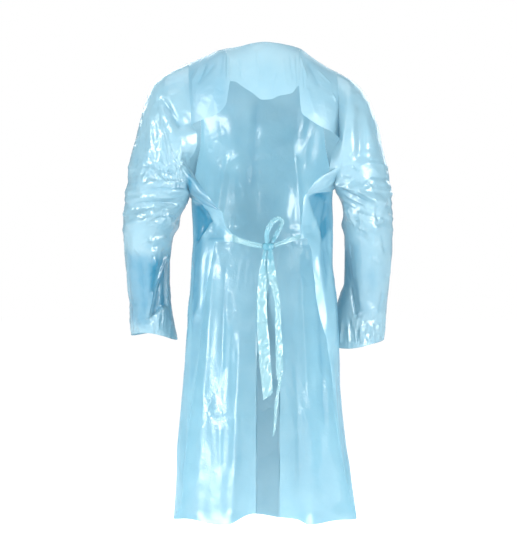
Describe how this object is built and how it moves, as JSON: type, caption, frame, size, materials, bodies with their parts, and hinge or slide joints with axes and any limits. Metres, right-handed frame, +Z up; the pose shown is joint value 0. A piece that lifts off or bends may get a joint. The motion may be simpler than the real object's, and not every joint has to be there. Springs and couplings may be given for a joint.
{
  "type": "disposable gown",
  "caption": "Open-back disposable isolation gown of thin pale-blue film with long sleeves, a neck yoke, side flaps and waist ties in a half bow.",
  "frame": {"origin": "at the base of the neck where the shoulders carry the gown, midway between the two shoulder points of the neck opening and midway from front to back", "axes": "+X towards the wearer's right, +Y towards the wearer's front, +Z up; the open back faces -Y"},
  "size_m": [0.6624, 0.3104, 1.1995],
  "materials": {
    "film_panel": "thin embossed polyethylene film, hazy and see-through, seen through at the front and doubled at the centre pleat",
    "film_back": "thin embossed polyethylene film, pale where it lies close, with a soft sheen",
    "film_sleeve": "thin embossed polyethylene film, crumpled, with bright soft highlights",
    "film_tie": "the same film gathered lengthwise to a narrow band"
  },
  "bodies": {
    "root": {"front_panel": "film_panel", "back_yoke": "film_back", "shoulder_left": "film_back", "shoulder_right": "film_back", "sleeve_left": "film_sleeve", "sleeve_right": "film_sleeve", "tie_left": "film_tie", "tie_right": "film_tie", "tie_knot": "film_tie", "tie_loop": "film_tie", "tie_tail_left": "film_tie", "tie_tail_right": "film_tie"}
  },
  "joints": []
}
